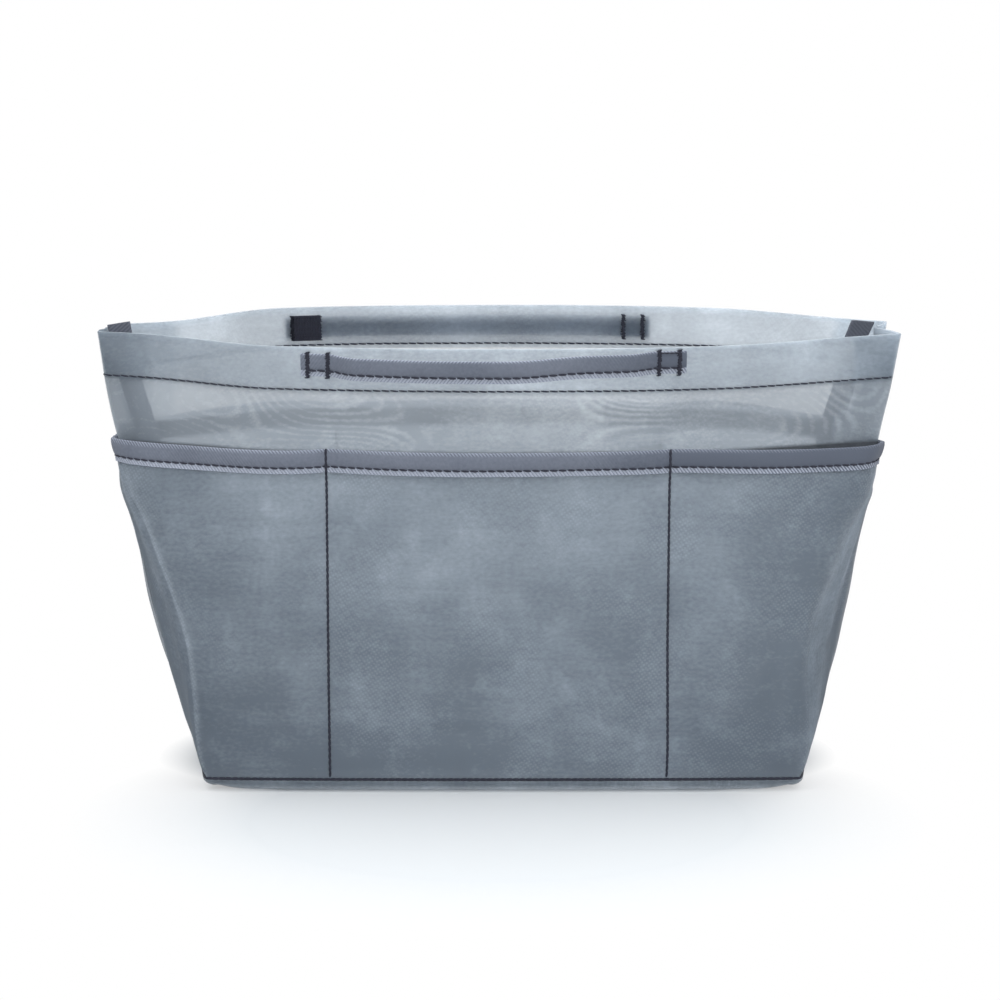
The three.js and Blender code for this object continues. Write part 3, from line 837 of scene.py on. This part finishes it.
def pocket_face(mouth, girth, z):
    """The pocket cloth's distance from the wall."""
    reach = np.abs(girth)
    middle_part, wall_part = reach <= DIVIDER_GIRTH, reach <= 1
    across = np.select(
        [middle_part, wall_part],
        [(reach + DIVIDER_GIRTH) / (2 * DIVIDER_GIRTH), (reach - DIVIDER_GIRTH) / (1 - DIVIDER_GIRTH)],
        reach - 1,
    )
    skewed = np.maximum(across, 0) ** mouth.skew
    across = np.where((girth > DIVIDER_GIRTH) & wall_part, skewed, across)
    side = np.where(girth < 0, mouth.left, mouth.right)
    gape = np.select([middle_part, wall_part], [mouth.middle, side], mouth.gusset)
    up = np.clip((z - WALL_BOTTOM) / (BINDING_BOTTOM - WALL_BOTTOM), 0, 1)
    full = 1 - np.abs(2 * across - 1) ** GAPE_POWER
    return CLEAR + up * TAPE_ROOM + up ** SWELL_POWER * gape * full


def pocket_cloth(face, turn):
    z = np.linspace(WALL_BOTTOM, POCKET_TOP - POCKET_EDGE, POCKET_STEPS)
    distance = pocket_face(MOUTHS[face], GIRTHS[:, None], z[None]) + CLOTH / 2 - pinch(z)[None]
    sections = np.stack([distance, np.broadcast_to(z, distance.shape)], -1)
    sheet(f"{face}_pocket_cloth", sections, turn, POCKET_MESH, f"{face}_pocket")


# A folded tape: steps up a leaf of a given length, and the groove along its stitch row
LEAF = 0.0072
LEAF_STEPS = np.array([0.0, 0.0006, 0.0012, ROW_INSET, 0.0024, 0.0032, 0.0042, 0.0054, 0.0066])
FOLD_STEPS = 7
GROOVE_HEIGHT = 0.0006
GROOVE_SHARE = 0.4  # of half the distance between the leaves
BINDING_ROOM = 0.00015  # between the pocket cloth and a leaf of its binding
BINDING_HALF = CLOTH / 2 + BINDING_ROOM + TAPE / 2


def folded_tape(width, half, puff):
    """A ring of (offset, height) round a tape that goes up its outer leaf, over its fold and down its inner
    leaf. The outer leaf draws in along the stitch row and stands off again at the lip."""
    up = LEAF_STEPS * (width - half) / LEAF
    drawn = np.exp(-((up - ROW_INSET) / GROOVE_HEIGHT) ** 2)
    swell = np.sin(math.pi * np.clip((up - ROW_INSET) / (width - ROW_INSET), 0, 1))
    offset = half + puff * swell - GROOVE_SHARE * half * drawn
    outer = np.stack([offset, up], -1)
    over = arc((0, width - half), half, 0, math.pi, FOLD_STEPS)
    inner = np.stack([np.full_like(up, -half), up], -1)[::-1]
    return ribbon(np.concatenate([outer, over, inner]), TAPE)


def pocket_binding(face, turn):
    section = folded_tape(BINDING_WIDTH, BINDING_HALF, puff=0.0003)
    carried = pocket_face(MOUTHS[face], GIRTHS, POCKET_TOP) + CLOTH / 2
    sections = section[None] + np.stack([carried, np.full_like(carried, BINDING_BOTTOM)], -1)[:, None]
    piece = loft(f"{face}_binding_tape", turn(wrapped(GIRTHS, sections)), TAPE_LOOK)
    settle(piece, f"{face}_pocket_binding")


def binding_outer(mouth, girth):
    """The distance of a binding's outer face from the wall."""
    return pocket_face(mouth, girth, POCKET_TOP) + CLOTH / 2 + BINDING_HALF + TAPE / 2


def row_piece(name, paths, turn, radius=THREAD, **settings):
    """Rows of stitches along paths, each of points and outward steps from them."""
    rows = [stitch_row(turn(near), turn(near + out) - turn(near), **settings) for near, out in paths]
    return sew(name, *(np.concatenate(v) for v in zip(*rows)), radius=radius)


HEM_GIRTHS = np.linspace(-1.93, 1.93, 400)
HEM_ROW_PROUD = 0.00005
BINDING_GIRTHS = np.linspace(-2, 2, 500)
DIVIDER_Z = np.linspace(SEAM + 0.001, POCKET_TOP + 0.0004, 160)
DIVIDER_PROUD = 0.0002
DIVIDER_STEP = 0.002  # below the binding, over which a divider row climbs on to it


def face_rows(face, turn, sides):
    """The stitch rows of a wall's hem and of its pocket's binding and dividers."""
    height = HEM_ROW + (BACK_ROW_UP if face == "back" else 0)
    outer = cloth_row(HEM_GIRTHS, height, HEM_ROW_PROUD)
    inner = cloth_row(HEM_GIRTHS, height, -HEM_INSIDE - HEM_ROW_PROUD, -1)
    hem = row_piece(f"{face}_hem_stitches", [outer, inner], turn, radius=FINE_THREAD)
    settle(hem, f"{face}_hem_stitching")

    mouth = MOUTHS[face]
    seat = binding_outer(mouth, BINDING_GIRTHS) - GROOVE_SHARE * BINDING_HALF
    path = cloth_row(BINDING_GIRTHS, BINDING_BOTTOM + ROW_INSET, seat)
    settle(row_piece(f"{face}_binding_stitches", [path], turn), f"{face}_binding_stitching")

    z = DIVIDER_Z
    over = ramp(z, BINDING_BOTTOM - DIVIDER_STEP, DIVIDER_STEP)
    for side, girth in zip(sides, (-DIVIDER_GIRTH, DIVIDER_GIRTH)):
        seat = pocket_face(mouth, girth, z) + CLOTH - pinch(z)
        seat = seat + over * (binding_outer(mouth, girth) + DIVIDER_PROUD - seat)
        path = cloth_row(np.full_like(z, girth), z, seat)
        name = f"{face}_{side}_divider_stitches"
        piece = row_piece(name, [path], turn, radius=HEAVY_THREAD, gap=-0.0004, slant=0.0001)
        settle(piece, f"{face}_{side}_divider_stitching")


# Handles: half a handle's length, and the places of its tacks and of the roots where it comes free
HANDLE_HALF = 0.072
OUTER_TACK_X = 0.0694
TACK_X = 0.0618
ROOT_X = 0.0498
ROOT_LENGTH = TACK_X - ROOT_X
HANDLE_THICKNESS = 0.0014
HANDLE_STEPS = 26
HANDLE_ROW_STEPS = 120
HANDLE_ROW_SEAT = 0.95  # of the handle's thickness
RIGHT_HANG, RIGHT_HANG_X = 0.0016, (0.004, 0.032)
LEFT_HANG, LEFT_HANG_X = 0.0005, (0.056, 0.006)


@dataclass
class Lie:
    """How a handle lies on its hem: how far it is shifted along it and down it, how far its lower and upper
    edges stand off, how far its middle bows out, and its share of slack."""
    shift: float
    drop: float
    lower: float
    upper: float
    bow: float
    slack: float

    def gap(self, x, up=HANDLE_WIDTH / 2):
        """How far the handle's inner face stands off the wall."""
        reach = np.abs(x)
        free = smooth((TACK_X - reach) / ROOT_LENGTH)
        bow = self.bow * np.maximum(1 - (reach / ROOT_X) ** 2, 0)
        return CLEAR + free * (self.lower + (self.upper - self.lower) * up / HANDLE_WIDTH) + bow

    def hang(self, x):
        """A slack handle rises to the right of its middle, and a little at its left end."""
        return self.slack * (RIGHT_HANG * ramp(x, *RIGHT_HANG_X) + LEFT_HANG * ramp(-x, *LEFT_HANG_X))

    def point(self, x, up, distance):
        """A point at x along the handle and up from its lower edge, at a distance from the wall."""
        z = HANDLE_Z - HANDLE_WIDTH / 2 + up + self.hang(x) - self.drop
        return place(girth_at(x + self.shift, HANDLE_Z), z, distance)


# Bar tacks
TACK_HALF = 0.00075
TACK_PAST = 0.0007  # how far a tack reaches past the tape's edges
TACK_COUNT = 28
TACK_LEAN = 0.0003
TACK_SPREAD = (0.75, 1.25)  # of the lengths of its stitches
TACK_RISE = 0.0002  # from a stitch's start to its end
TACK_PROUD = 0.0001
TACK_SEED = 11
SHADE_BLOCK_TACK = ("back", "left", "inner")  # its bars stand close, for the stitches and for painted shade on the tacked end, and show through the cloth as a dark block
SHADE_BLOCK_X = np.linspace(TACK_X - 0.003, OUTER_TACK_X, 11)
BOXED_TACK = ("front", "right", "outer")  # has stitches from tack to tack along the top edge
BOX_STITCHES = 4
BOX_INSET = 0.0003
BOX_PROUD = 0.0002


def handle(face, turn, sides, lie):
    """Both halves of a handle with their stitches and tacks, blended from the tacked ends into the strap."""
    section = folded_tape(HANDLE_WIDTH, HANDLE_THICKNESS / 2 - TAPE / 2, puff=0.0002)
    offset, up = section[None, :, 0], section[None, :, 1]
    free = np.linspace(0, ROOT_X, HANDLE_STEPS)[:-1]
    sewn = np.linspace(ROOT_X, HANDLE_HALF, HANDLE_STEPS)
    for side, way in zip(sides, (-1, 1)):
        ends = way * np.array([TACK_X, ROOT_X])
        tack, root = turn(lie.point(ends, HANDLE_WIDTH / 2, lie.gap(ends) + HANDLE_THICKNESS / 2))
        x = way * np.concatenate([free, sewn])
        rings = lie.point(x[:, None], up, lie.gap(x[:, None], up) + HANDLE_THICKNESS / 2 + offset)
        strap = loft(f"{face}_handle_{side}_tape", turn(rings), TAPE_LOOK)
        settle(strap, f"{face}_handle_strap", f"{face}_handle_{side}_end", body=None)
        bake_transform(strap)
        x = way * np.linspace(0, OUTER_TACK_X, HANDLE_ROW_STEPS)
        seat = lie.gap(x, ROW_INSET) + HANDLE_ROW_SEAT * HANDLE_THICKNESS
        near = lie.point(x, ROW_INSET, seat)
        out = lie.point(x, ROW_INSET, seat + OUTWARD) - near
        row = row_piece(f"{face}_handle_{side}_stitches", [(near, out)], turn)
        settle(row, f"{face}_handle_stitching", body=None)
        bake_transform(row)
        for name, tack_x in (("inner", TACK_X), ("outer", OUTER_TACK_X)):
            # The block tack's close bars are stitches and also painted shade.
            bars = way * SHADE_BLOCK_X if (face, side, name) == SHADE_BLOCK_TACK else [way * tack_x]
            box = way * np.array([TACK_X, OUTER_TACK_X]) if (face, side, name) == BOXED_TACK else None
            piece = bar_tack(f"{face}_{side}_{name}_bar_tack", bars, lie, turn, box)
            settle(piece, f"{face}_handle_{side}_{name}_tack")


def bar_tack(name, bars, lie, turn, box=None):
    """Bars of close stitches across the handle at each x, the first on its face, and all inside the hem.
    Stitches also run along its top edge between the two x of a box."""
    rng = np.random.default_rng(TACK_SEED)
    up = np.linspace(-TACK_PAST, HANDLE_WIDTH + TACK_PAST, TACK_COUNT)
    lean = TACK_LEAN * rng.uniform(-1, 1, TACK_COUNT)
    half = TACK_HALF * rng.uniform(*TACK_SPREAD, TACK_COUNT)
    starts, ends, outs = [], [], []
    for x in bars:
        face = lie.gap(x) + HANDLE_THICKNESS + TACK_PROUD
        for seat, step in ((face, OUTWARD), (-HEM_INSIDE - TACK_PROUD, -OUTWARD)):
            if step > 0 and x != bars[0]:
                continue
            starts.append(turn(lie.point(x - half + lean, up, seat)))
            ends.append(turn(lie.point(x + half + lean, up + TACK_RISE, seat)))
            outs.append(turn(lie.point(x + lean, up, seat + step)) - turn(lie.point(x + lean, up, seat)))
    if box is not None:
        x = np.linspace(box[0], box[1], BOX_STITCHES + 1)
        seat = lie.gap(x) + HANDLE_THICKNESS + BOX_PROUD
        edge = turn(lie.point(x, HANDLE_WIDTH - BOX_INSET, seat))
        starts.append(edge[:-1])
        ends.append(edge[1:])
        outs.append((turn(lie.point(x, HANDLE_WIDTH - BOX_INSET, seat + OUTWARD)) - edge)[:-1])
    starts, ends, outs = (np.concatenate(v) for v in (starts, ends, outs))
    return sew(name, starts, ends, unit(outs), radius=TACK_THREAD, lift=0.0003)


# Floor
CORNER_UP = 0.0022
CORNER_SPAN = 0.10  # of girth
FLOOR_ROLL = SEAM - 0.0006  # radius of its turned-up edge
ROLL_STEPS = 9
FLOOR_MARGIN = 0.006  # of level cloth inside the roll
FLOOR_ROW_PROUD = 0.0003
FLOOR_TAPE_UP = 0.0014


def base_ring(distance, z):
    """A ring right round the bag, a distance outside the bottom seam. The corners stand up a little."""
    half = place(GIRTHS[:-1], SEAM, distance)
    corner = np.exp(-((np.abs(GIRTHS[:-1]) - 1) / CORNER_SPAN) ** 2)
    half[:, 2] = z + CORNER_UP * corner * np.clip(1 - z / SEAM, 0, 1)
    return posture(np.concatenate([half, half_turn(half)]))


def floor_cloth():
    """The floor, turned up at its edge to the bottom seam."""
    roll = FLOOR_ROLL
    inside = CLEAR + CLOTH - roll
    turns = np.linspace(math.pi / 2, 0, ROLL_STEPS)
    path = np.stack([inside + roll * np.cos(turns), roll - roll * np.sin(turns)], -1)
    path = np.concatenate([[[inside - FLOOR_MARGIN, 0.0]], path])
    path[:, 1] += CLOTH / 2
    rings = np.stack([base_ring(d, z) for d, z in ribbon(path, CLOTH)])
    piece = loft("bottom_cloth", rings, FLOOR_MESH, flat=True)
    settle(piece, "bottom_panel")


def floor_seam():
    seat = CLEAR + CLOTH - SEAM_PINCH + FLOOR_ROW_PROUD
    path = base_ring(seat, SEAM)
    outs = base_ring(seat + OUTWARD, SEAM) - path
    path = np.concatenate([path, path[:1]])
    outs = np.concatenate([outs, outs[:1]])
    starts, ends, out = stitch_row(path, outs, length=0.0030, gap=-0.0005, slant=0.0)
    piece = sew("bottom_stitches", starts, ends, out, radius=SEAM_THREAD, lift=0.0001)
    settle(piece, "bottom_seam_stitching")


def floor_binding():
    """The bound seam allowance lies flat inside the floor's edge."""
    section = folded_tape(BINDING_WIDTH, half=0.0008, puff=0.0001)
    lip = CLOTH - SEAM - BINDING_WIDTH
    lift = CLOTH + FLOOR_TAPE_UP
    rings = np.stack([base_ring(lip + up, lift + offset) for offset, up in section], 1)
    piece = loft("bottom_seam_tape", rings, TAPE_LOOK, endless=True)
    settle(piece, "bottom_seam_binding")


# Side seams
TAB = 0.004  # height of the part that leans out
SEAM_TAPE_FOOT = 0.003  # above the wall's lower edge
SEAM_TAPE_STEPS = 90
SEAM_ROW_SEAT = 0.00075
SEAM_ROW = slice(2, -4)  # the steps that it runs along


def side_seam(side, way, lean, slant, top, inset):
    """The bound seam allowance, whose top end stands above the rim, leans out and is cut at a slant."""
    z = np.linspace(WALL_BOTTOM + SEAM_TAPE_FOOT, RIM + top, SEAM_TAPE_STEPS)
    root = through(SIDE_SEAM, z) - inset
    section = folded_tape(BINDING_WIDTH, half=0.0007, puff=0.00015)
    tip = np.maximum(z - (RIM - TAB), 0)[:, None]
    inward = root[:, None] - section[None, :, 1] + lean * tip
    aside = np.broadcast_to(section[None, :, 0], inward.shape)
    up = z[:, None] + slant * section[None, :, 1] / BINDING_WIDTH * smooth(tip / TAB)
    # The seam tape uses the darker copy, painted with the shade inside the bag.
    piece = loft(f"{side}_seam_tape", posture(np.stack([way * inward, aside, up], -1)), SHADED_SEAM_TAPE_LOOK)
    settle(piece, f"{side}_seam_binding")
    path = np.stack([way * (root - ROW_INSET), np.full_like(z, -SEAM_ROW_SEAT), z], -1)[SEAM_ROW]
    out = np.broadcast_to([0.0, -OUTWARD, 0.0], path.shape)
    settle(row_piece(f"{side}_seam_stitches", [(path, out)], posture), f"{side}_seam_stitching")


# Stage
WHITE = (1, 1, 1, 1)
FLOOR_COLOUR = (0.58, 0.605, 0.625, 1)
FLOOR_BOUNCE = (0.50, 0.505, 0.51, 1)  # for the light that it throws back
FLOOR_REACH = 12.0
UNDER_EDGE, FRONT_EDGE = (0.93, 1.1), (0.75, 1.3)  # of two ovals, outside which the floor is white
SKY_TOP = 1.5
SKY_EDGE = 1.0
SIDE_SHADE = 0.5  # how much darker the studio is to the left and right
LIGHT_AIM = (0, 0, 0.08)
MOST_LAYERS = 64  # of cloth that a ray can pass
SENSOR = 36
FOCAL_LENGTH = 123.5
EYE = (0.0008, -1.3, 0.415)
LOOK_DOWN = 13.45


def studio():
    scene = bpy.context.scene
    scene.view_settings.view_transform = "Standard"
    scene.cycles.transparent_max_bounces = MOST_LAYERS
    floor = bpy.data.meshes.new("floor")
    corners = [(x * FLOOR_REACH, y * FLOOR_REACH, 0) for x, y in ((-1, -1), (1, -1), (1, 1), (-1, 1))]
    floor.from_pydata(corners, [], [(0, 1, 2, 3)])
    floor.materials.append(floor_material())
    stage = add_object("floor", floor)
    scene.world = bpy.data.worlds.new("studio")
    n = Nodes(scene.world)
    way = n.parts(n.add("ShaderNodeTexCoord").outputs["Generated"])
    shade = n.math("SUBTRACT", 1.0, n.times(way[0], way[0], SIDE_SHADE))
    light = n.times(n.mapped(way[2], SKY_EDGE, SKY_TOP), shade)
    n.set(Color=WHITE, Strength=n.math("MAXIMUM", light, n.seen()))
    soft_light("key", spot=(0.0, 0.05, 0.62), size=0.7, power=3.6)
    soft_light("fill", spot=(0.45, -1.6, 1.2), size=1.4, power=6.0)


def floor_material():
    """A pale floor that shows the shadow near the object and goes over to white."""
    n = new_material("pale_floor")
    n.set(Base_Color=n.mixed(n.seen(), FLOOR_BOUNCE, FLOOR_COLOUR), Roughness=0.9, Specular_IOR_Level=0.1)
    spot = n.parts(n.spot())
    under = n.oval(spot, y=0.0, half_width=0.122, half_depth=0.07)
    front = n.oval(spot, y=-0.08, half_width=0.124, half_depth=0.09)
    share = n.math("MINIMUM", n.rising(under, *UNDER_EDGE), n.rising(front, *FRONT_EDGE))
    white = n.add("ShaderNodeEmission", {"Color": WHITE, "Strength": 1.0}).outputs[0]
    n.show(n.blended(n.times(n.seen(), share), n.shader.outputs[0], white))
    return n.owner


def soft_light(name, spot, size, power):
    light = bpy.data.lights.new(name, "AREA")
    light.shape = "SQUARE"
    light.size = size
    light.energy = power
    lamp = add_object(name, light)
    lamp.location = spot
    aim = np.array(LIGHT_AIM) - np.array(spot)
    tilt = math.acos(-aim[2] / np.linalg.norm(aim))
    lamp.rotation_euler = (tilt, 0, math.atan2(aim[1], aim[0]) - math.pi / 2)


def camera():
    lens = bpy.data.cameras.new("camera")
    lens.sensor_width = SENSOR
    lens.lens = FOCAL_LENGTH
    eye = add_object("camera", lens)
    eye.location = EYE
    eye.rotation_euler = (math.radians(90 - LOOK_DOWN), 0, 0)
    bpy.context.scene.camera = eye


# The whole, with the sides of the back named as they are seen from the front
FRONT_LIE = Lie(shift=-0.0016, drop=0.0, lower=0.0053, upper=0.0053, bow=0.0035, slack=1.0)
BACK_LIE = Lie(shift=BACK_SHIFT + 0.0003, drop=0.0014, lower=0.0018, upper=0.0003, bow=0.0, slack=0.0)

studio()
camera()
for face, turn, sides, lie in (
    ("front", posture, ("left", "right"), FRONT_LIE),
    ("back", back_posture, ("right", "left"), BACK_LIE),
):
    wall_cloth(face, turn)
    pocket_cloth(face, turn)
    pocket_binding(face, turn)
    face_rows(face, turn, sides)
    handle(face, turn, sides, lie)
floor_cloth()
floor_seam()
floor_binding()
side_seam("left", -1, lean=0.2, slant=0.0014, top=0.0009, inset=0.0016)
side_seam("right", 1, lean=0.42, slant=0.0007, top=0.002, inset=0.0034)
